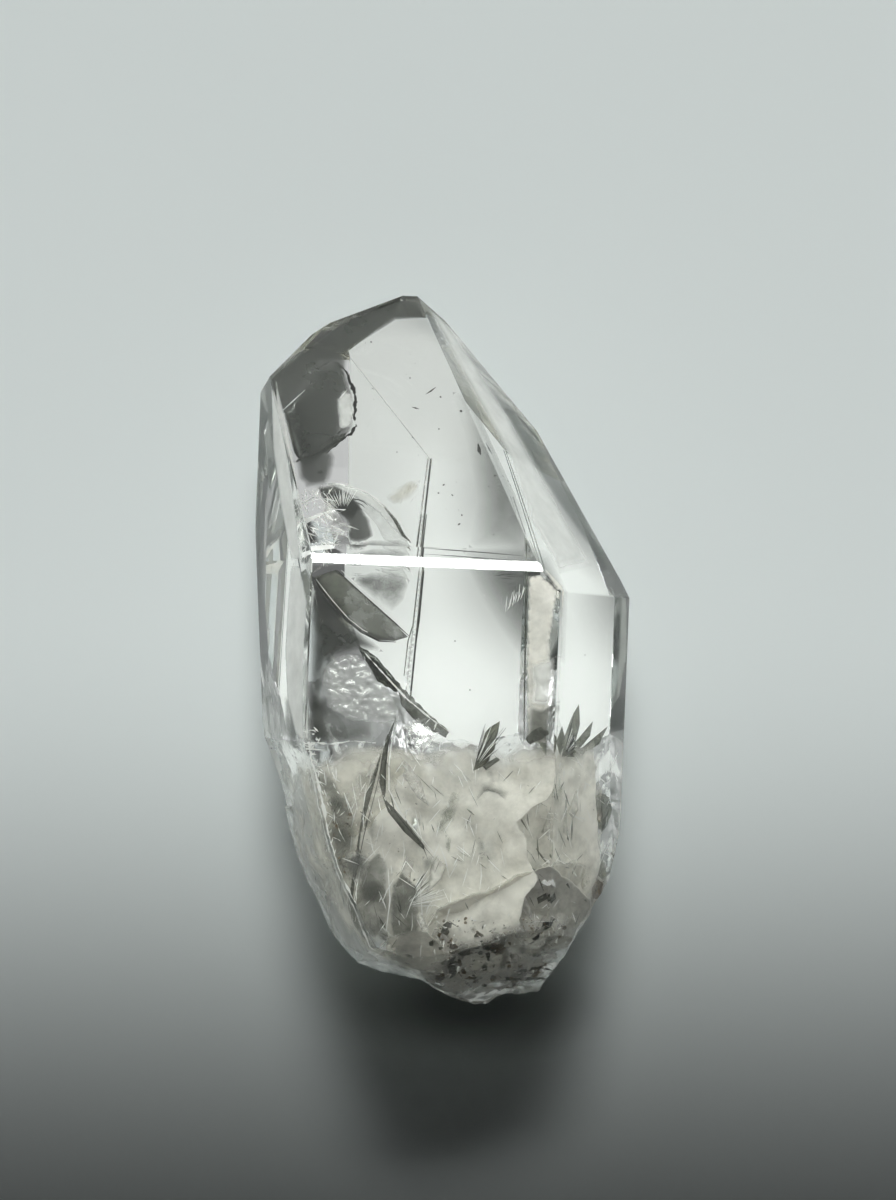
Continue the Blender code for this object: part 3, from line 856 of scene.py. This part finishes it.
# painted shade: a grey film on the left of the milky end
plate("painted_grey_shade", [(326, 800), (348, 792), (357, 830), (352, 875), (338, 882), (328, 850)], 1.4, (0, 0), wave=0.04, jag=0.15, soft=0.4)
fan("white", (404, 906), 8, 42, 300, 362, 15, 1.1, 1.4, 94)
fan("dark", (404, 906), 10, 40, 302, 358, 8, 1.0, 1.8, 95)
specks("rust", (328, 805, 352, 872), 70, 0.5, 1.7, 1.5, 96)
specks("rust", (355, 760, 420, 880), 40, 0.3, 1.1, 2.0, 97)
specks("rust", (440, 918, 566, 992), 170, 0.6, 2.2, 1.0, 98)
specks("film", (430, 918, 566, 992), 70, 0.8, 2.4, 0.9, 198)
plate("rust", [(590, 882), (597, 877), (603, 884), (601, 897), (593, 899)], 0.9, (60, -20), jag=0.15, cell=0.2)
streak("dark", [(455, 925), (470, 938), (486, 945), (500, 955), (511, 951), (520, 950), (529, 942), (537, 930), (547, 924), (556, 915)], 2.4, 1.2, (0, -30), 0.4, jag=0.25, cell=0.16)
scatter("white", (300, 758, 618, 945), 230, 20, 0.95, 1.2, 99, 80, 60)
scatter("slate", (300, 758, 618, 945), 90, 20, 0.9, 1.1, 103, 80, 60)
scatter("white", (288, 770, 340, 940), 110, 12, 1.1, 0.9, 104, 68, 45)
scatter("white", (430, 915, 560, 990), 120, 7, 1.3, 1.2, 100, 0, 90)
scatter("dark", (430, 920, 562, 992), 80, 6, 1.1, 1.2, 101, 0, 90)
scatter("slate", (320, 770, 610, 930), 34, 26, 1.6, 1.8, 102, 70, 40)
rng = np.random.RandomState(301)
# the grey flakes among these are painted shade
for k in range(44):        # flat flakes of many tilts, each catching the light its own way
    x, y = rng.uniform(300, 606), rng.uniform(762, 960)
    a, r, lean = rng.uniform(0, 6.3), rng.uniform(5, 13), rng.uniform(-0.6, 0.6)
    pts = []
    for t in range(5):
        px, py = r * rng.uniform(0.6, 1.0) * cos(a + t * 1.26), 3.0 * r * rng.uniform(0.6, 1.0) * sin(a + t * 1.26)
        pts.append((x + px - lean * py, y + py))
    lens_of = ("flake", "milk", "flake", "painted_grey_shade", "shine")[k % 5]
    plate(lens_of, pts, rng.uniform(0.9, 3.6), (rng.uniform(-38, 38), rng.uniform(-34, 34)), wave=0.03, size=0.6, jag=0.05, cell=0.3, seed=310 + k, soft=0.3)
for k in range(54):        # thin bright edges of cracks, along the long axis
    x, y = rng.uniform(300, 612), rng.uniform(765, 945)
    h, lean = rng.uniform(8, 34), rng.uniform(-0.5, 0.5)
    streak("white", [(x - h * lean * 0.5, y - h / 2), (x + rng.uniform(-2, 2), y), (x + h * lean * 0.5, y + h / 2)], rng.uniform(0.7, 1.3), rng.uniform(0.8, 2.0), (rng.uniform(-25, 25), rng.uniform(-15, 15)), 0.2)
# the grey bits among the grains of the end are painted shade
for k in range(90):        # the granular end
    x, y = rng.uniform(432, 566), rng.uniform(922, 990)
    r = rng.uniform(3, 9)
    a = rng.uniform(0, 6.3)
    pts = [(x + r * rng.uniform(0.5, 1.0) * cos(a + t * 1.26), y + r * rng.uniform(0.5, 1.0) * sin(a + t * 1.26)) for t in range(5)]
    plate(("slate", "rust", "flake", "painted_grey_shade")[k % 4], pts, rng.uniform(0.7, 1.5), (27 + rng.uniform(-30, 30), -50 + rng.uniform(-26, 26)), jag=0.05, cell=0.2, seed=400 + k, soft=0.15)
# larger cracks in the milky end: bright air gaps, and grey films of painted shade
for k in range(5):
    rng = np.random.RandomState(110 + k)
    x, y = rng.uniform(330, 590), rng.uniform(775, 910)
    a, r = rng.uniform(0, 6.3), rng.uniform(10, 26)
    pts = [(x + r * rng.uniform(0.5, 1.0) * cos(a + t * 1.05), y + 1.3 * r * rng.uniform(0.5, 1.0) * sin(a + t * 1.05)) for t in range(6)]
    plate("shine" if k % 3 == 0 else "painted_grey_shade", pts, rng.uniform(1.2, 2.4), (rng.uniform(-30, 30), rng.uniform(-14, 14)), wave=0.05, size=0.7, jag=0.12, cell=0.25, seed=120 + k)


def combine(tree, operation, a, b):
    node = tree.nodes.new("ShaderNodeMath")
    node.operation = operation
    for k, value in enumerate((a, b)):
        if isinstance(value, (int, float)):
            node.inputs[k].default_value = value
        else:
            tree.links.new(value, node.inputs[k])
    return node.outputs[0]


def look_material(name, color, rough, metallic=0.0, alpha=1.0, cloud=None, grain=0.0, grain_scale=3000.0, fading=False):
    mat, tree, bsdf = new_material(name)
    bsdf.inputs["Base Color"].default_value = (*color, 1.0)
    bsdf.inputs["Roughness"].default_value = rough
    bsdf.inputs["Metallic"].default_value = metallic
    bsdf.inputs["Alpha"].default_value = alpha
    where = tree.nodes.new("ShaderNodeTexCoord").outputs["Object"]
    if cloud:
        scale, low, high, thin, thick = cloud
        mist = tree.nodes.new("ShaderNodeTexNoise")
        mist.inputs["Scale"].default_value = scale
        mist.inputs["Detail"].default_value = 7.0
        mist.inputs["Roughness"].default_value = 0.62
        tree.links.new(where, mist.inputs["Vector"])
        span = tree.nodes.new("ShaderNodeMapRange")
        span.inputs["From Min"].default_value = low
        span.inputs["From Max"].default_value = high
        span.inputs["To Min"].default_value = thin
        span.inputs["To Max"].default_value = thick
        tree.links.new(mist.outputs["Fac"], span.inputs["Value"])
        tree.links.new(span.outputs[0], bsdf.inputs["Alpha"])
    if fading:
        soft = tree.nodes.new("ShaderNodeAttribute")
        soft.attribute_name = "soft"
        last = span.outputs[0]
        tree.links.new(combine(tree, "MULTIPLY", last, soft.outputs["Fac"]), bsdf.inputs["Alpha"])
    if grain:
        fine = tree.nodes.new("ShaderNodeTexNoise")
        fine.inputs["Scale"].default_value = grain_scale
        fine.inputs["Detail"].default_value = 4.0
        tree.links.new(where, fine.inputs["Vector"])
        bump = tree.nodes.new("ShaderNodeBump")
        bump.inputs["Strength"].default_value = grain
        bump.inputs["Distance"].default_value = 0.00005
        tree.links.new(fine.outputs["Fac"], bump.inputs["Height"])
        tree.links.new(bump.outputs[0], bsdf.inputs["Normal"])
    return mat


INSIDE = {
    "cracks": look_material("air_gap", (0.72, 0.75, 0.72), 0.14, 1.0, grain=0.2, grain_scale=900.0),
    # a darker copy of the air gap: painted shade
    "cracks_darkened": look_material("air_gap_painted_darker", (0.34, 0.36, 0.33), 0.2, 1.0, grain=0.3, grain_scale=1200.0),
    "shine": look_material("air_gap_bright", (0.80, 0.82, 0.79), 0.26, 1.0, grain=0.35, grain_scale=2200.0,
                           cloud=(1100.0, 0.34, 0.62, 0.10, 0.85), fading=True),
    "olive": look_material("thin_gap", (0.30, 0.31, 0.24), 0.25, 0.6, grain=0.3, cloud=(900.0, 0.35, 0.65, 0.55, 0.9)),
    "slate": look_material("grey_gap", (0.16, 0.17, 0.14), 0.35, cloud=(700.0, 0.3, 0.7, 0.45, 0.85), grain=0.2),
    "film": look_material("faint_film", (0.62, 0.64, 0.60), 0.4, cloud=(500.0, 0.3, 0.7, 0.05, 0.25)),
    # painted shade: a grey film
    "painted_grey_shade": look_material("painted_grey_shade_film", (0.10, 0.11, 0.09), 0.4, cloud=(420.0, 0.32, 0.68, 0.10, 0.60), fading=True),
    # painted shade: dark films in place of the dark that the faces and cracks mirror inside
    "painted_shade": look_material("painted_shade_film", (0.062, 0.070, 0.060), 0.5, cloud=(240.0, 0.3, 0.7, 0.55, 0.86), fading=True),
    "painted_shade_thin": look_material("faint_shade", (0.10, 0.115, 0.10), 0.5, cloud=(160.0, 0.2, 0.8, 0.30, 0.50), fading=True),
    "haze": look_material("pale_film", (0.95, 0.965, 0.945), 0.5, cloud=(300.0, 0.3, 0.7, 0.45, 0.80), fading=True),
    "frost": look_material("frosted_gap", (0.97, 0.98, 0.96), 0.5, cloud=(500.0, 0.3, 0.7, 0.70, 0.95), grain=0.2, fading=True),
    "milk": look_material("milky_veil", (0.93, 0.91, 0.83), 0.7, cloud=(520.0, 0.36, 0.66, 0.06, 0.70), grain=0.4, grain_scale=1400.0, fading=True),
    "cream": look_material("milky_body", (0.95, 0.935, 0.87), 0.7, cloud=(300.0, 0.34, 0.60, 0.35, 0.97), grain=0.5, grain_scale=900.0, fading=True),
    "white": look_material("bright_scratch", (0.93, 0.94, 0.92), 0.35),
    "dark": look_material("dark_line", (0.035, 0.037, 0.033), 0.4),
    "flake": look_material("milky_flake", (0.95, 0.94, 0.89), 0.45, cloud=(900.0, 0.3, 0.7, 0.12, 0.55), grain=0.25, grain_scale=1600.0),
    "amber": look_material("iron_stain", (0.44, 0.38, 0.22), 0.5, cloud=(900.0, 0.3, 0.7, 0.05, 0.36), fading=True),
    "rust": look_material("rust_grain", (0.20, 0.14, 0.075), 0.6, cloud=(1500.0, 0.3, 0.6, 0.3, 0.8)),
}
SEALED = []
limits = [(n, d, 0.12) for n, d in ((direction(a, s), d) for a, s, d in FACES.values())]
limits += [(direction(r[0], r[1]), r[2], 0.05 + 0.6 * r[3]) for r in BREAKS.values() if r[5] is None]
for name, bm in GROUPS.items():
    for n, d, inset in limits:
        level = d - inset + n.dot(SHIFT) / MM
        if any(n.dot(w.co) > level * MM for w in bm.verts):
            cut(bm, n, level)
    bmesh.ops.triangulate(bm, faces=bm.faces[:])
    if name in ("cream", "milk"):          # the milky part thins out where it is broken off
        fade = bm.verts.layers.float["soft"]
        for n, d, inset in limits[len(FACES):]:
            level = d - inset + n.dot(SHIFT) / MM
            for w in bm.verts:
                w[fade] *= min(1.0, max(0.0, (level - n.dot(w.co) / MM) / 0.8))
    moved = 0
    for w in bm.verts:
        at, n, _, _ = near_skin.find_nearest(w.co)
        if (w.co - at).dot(n) > -0.06 * MM:
            w.co = at - n * 0.08 * MM
            moved += 1
    for f in bm.faces:
        f.smooth = name not in ("white", "dark", "rust")
    piece = mesh_object("inside_" + name, bm, (INSIDE[name],))
    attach(piece, "root")
    SEALED.append(piece)
    print("INSIDE", name, len(piece.data.polygons), "moved", moved)


# ---------------------------------------------------------------- stage
def patch(tree, where, cx, cy, rx, ry, core=0.0):
    """1 in the middle of an ellipse on the floor (mm), falling smoothly to 0 at its rim."""
    nodes, links = tree.nodes, tree.links
    shift = nodes.new("ShaderNodeVectorMath")
    shift.operation = "SUBTRACT"
    shift.inputs[1].default_value = (cx * MM, cy * MM, 0.0)
    links.new(where, shift.inputs[0])
    size = nodes.new("ShaderNodeVectorMath")
    size.operation = "MULTIPLY"
    size.inputs[1].default_value = (1000.0 / rx, 1000.0 / ry, 0.0)
    links.new(shift.outputs[0], size.inputs[0])
    far = nodes.new("ShaderNodeVectorMath")
    far.operation = "LENGTH"
    links.new(size.outputs[0], far.inputs[0])
    fade = nodes.new("ShaderNodeMapRange")
    fade.interpolation_type = "SMOOTHSTEP"
    fade.inputs["From Min"].default_value = core
    fade.inputs["From Max"].default_value = 1.0
    fade.inputs["To Min"].default_value = 1.0
    fade.inputs["To Max"].default_value = 0.0
    links.new(far.outputs["Value"], fade.inputs["Value"])
    return fade.outputs[0]


# Painted light on the paper beneath the crystal: a glow (emission) where the crystal would gather light onto it, and
# less glow where it would shade it: centre, radii (mm), strength.
PAINTED_GLOW_BASE = 0.62
PAINTED_GLOW_PATCHES = [
    (0.5, -3.0, 11.0, 10.0, 0.24),
    (0.2, 6.5, 5.0, 5.5, 0.12),
    (7.2, 6.5, 9.0, 10.5, -0.56),
    (0.0, -24.0, 17.0, 17.0, -0.55),
]

bm = bmesh.new()
bmesh.ops.create_grid(bm, x_segments=2, y_segments=2, size=2.0)
floor_mat, tree, bsdf = new_material("pale_paper")
bsdf.inputs["Roughness"].default_value = 0.9
bsdf.inputs["Specular IOR Level"].default_value = 0.0
where = tree.nodes.new("ShaderNodeTexCoord").outputs["Object"]
# Painted light: beneath the crystal the paper's colour is darker and it glows instead, standing in for the light that
# the crystal passes and gathers onto it.
under = combine(tree, "MAXIMUM", patch(tree, where, 0.4, -3.5, 11.0, 16.0, 0.72),
                patch(tree, where, -3.2, 10.0, 7.6, 11.6, 0.68))
glow = PAINTED_GLOW_BASE
for cx, cy, rx, ry, strength in PAINTED_GLOW_PATCHES:
    glow = combine(tree, "ADD", glow, combine(tree, "MULTIPLY", patch(tree, where, cx, cy, rx, ry), strength))
glow = combine(tree, "MULTIPLY", combine(tree, "MAXIMUM", glow, 0.0), under)
tree.links.new(glow, bsdf.inputs["Emission Strength"])
bsdf.inputs["Emission Color"].default_value = (0.955, 1.0, 0.955, 1.0)
paper = tree.nodes.new("ShaderNodeMix")
paper.data_type = "RGBA"
paper.inputs["A"].default_value = (0.765, 0.83, 0.815, 1.0)
paper.inputs["B"].default_value = (0.25, 0.26, 0.25, 1.0)
tree.links.new(under, paper.inputs["Factor"])
# Painted shadow: the paper's own colour is darkened at the broken end.
painted_foot_shadow = tree.nodes.new("ShaderNodeMix")        # the deep shadow at the broken end
painted_foot_shadow.data_type = "RGBA"
painted_foot_shadow.inputs["B"].default_value = (0.02, 0.028, 0.03, 1.0)
tree.links.new(combine(tree, "MULTIPLY", patch(tree, where, 3.2, -26.2, 11.0, 4.8, 0.15), 0.74), painted_foot_shadow.inputs["Factor"])
tree.links.new(paper.outputs["Result"], painted_foot_shadow.inputs["A"])
tree.links.new(painted_foot_shadow.outputs["Result"], bsdf.inputs["Base Color"])
floor = mesh_object("floor", bm, (floor_mat,))
floor.location.z = -0.00006

world = bpy.data.worlds.new("studio")
bpy.context.scene.world = world
world.use_nodes = True
wt = world.node_tree
back = wt.nodes["Background"]
sky = wt.nodes.new("ShaderNodeTexCoord").outputs["Generated"]
# soft patches of light round the room: azimuth, elevation, sharpness, strength
ROOM = [
    (0, 45, 6.0, 0.75),
    (-20, 25, 5.0, 0.35),
    (122, 8, 14.0, 1.05),
]
light = 0.065
for azimuth, rise, sharp, strength in ROOM:
    face = wt.nodes.new("ShaderNodeVectorMath")
    face.operation = "DOT_PRODUCT"
    a, e = radians(azimuth), radians(rise)
    face.inputs[1].default_value = (sin(a) * cos(e), cos(a) * cos(e), sin(e))
    wt.links.new(sky, face.inputs[0])
    lobe = combine(wt, "POWER", combine(wt, "MAXIMUM", face.outputs["Value"], 0.0), sharp)
    light = combine(wt, "ADD", light, combine(wt, "MULTIPLY", lobe, strength))
wt.links.new(light, back.inputs["Strength"])
back.inputs["Color"].default_value = (0.985, 1.0, 0.99, 1)
world.cycles_visibility.diffuse = False


def softbox(name, place, target, width, height, power, spread=180.0, color=(1, 1, 1)):
    lamp = bpy.data.lights.new(name, "AREA")
    lamp.shape = "RECTANGLE"
    lamp.size, lamp.size_y = width * MM, height * MM
    lamp.energy = power
    lamp.color = color
    lamp.spread = radians(spread)
    obj = link(bpy.data.objects.new(name, lamp))
    obj.location = Vector(place) * MM
    aim = (Vector(target) - Vector(place)).normalized()
    obj.rotation_euler = aim.to_track_quat("-Z", "Y").to_euler()
    obj.visible_camera = False
    return obj


KEY = (-2, 55, 70, 26)      # azimuth, elevation, distance, aimed at this y
a, e = radians(KEY[0]), radians(KEY[1])
key = softbox("key", (KEY[2] * sin(a) * cos(e), KEY[3] + KEY[2] * cos(a) * cos(e), KEY[2] * sin(e)),
              (0, KEY[3], 0), 140, 80, 0.0305, spread=30)
softbox("fill", (0, 60, 320), (0, 0, 0), 260, 260, 0.030)
# light that comes to the cracks and veils through the clear faces
sealed = bpy.data.collections.new("sealed")
for piece in SEALED:
    sealed.objects.link(piece)
for side, power in ((-1, 0.038), (1, 0.030)):
    through = softbox("through", (58 * side, 52, 84), (0, -2, 9), 60, 60, power, color=(1.0, 0.99, 0.95))
    through.light_linking.receiver_collection = sealed
    through.light_linking.blocker_collection = sealed

# ---------------------------------------------------------------- camera
cam = bpy.data.cameras.new("camera")
cam.sensor_fit = "AUTO"
cam.sensor_width = 36.0
cam.lens = 66.0
cam.clip_start = 0.001
cam.clip_end = 10.0
eye = link(bpy.data.objects.new("camera", cam))
eye.location = EYE
eye.rotation_euler = (0.0, 0.0, TURN)
bpy.context.scene.camera = eye

scene = bpy.context.scene
scene.view_settings.view_transform = "Standard"
scene.cycles.max_bounces = 24
scene.cycles.transmission_bounces = 24
scene.cycles.transparent_max_bounces = 24
scene.cycles.diffuse_bounces = 6
scene.cycles.glossy_bounces = 12
scene.cycles.use_denoising = True
scene.cycles.sample_clamp_indirect = 8.0
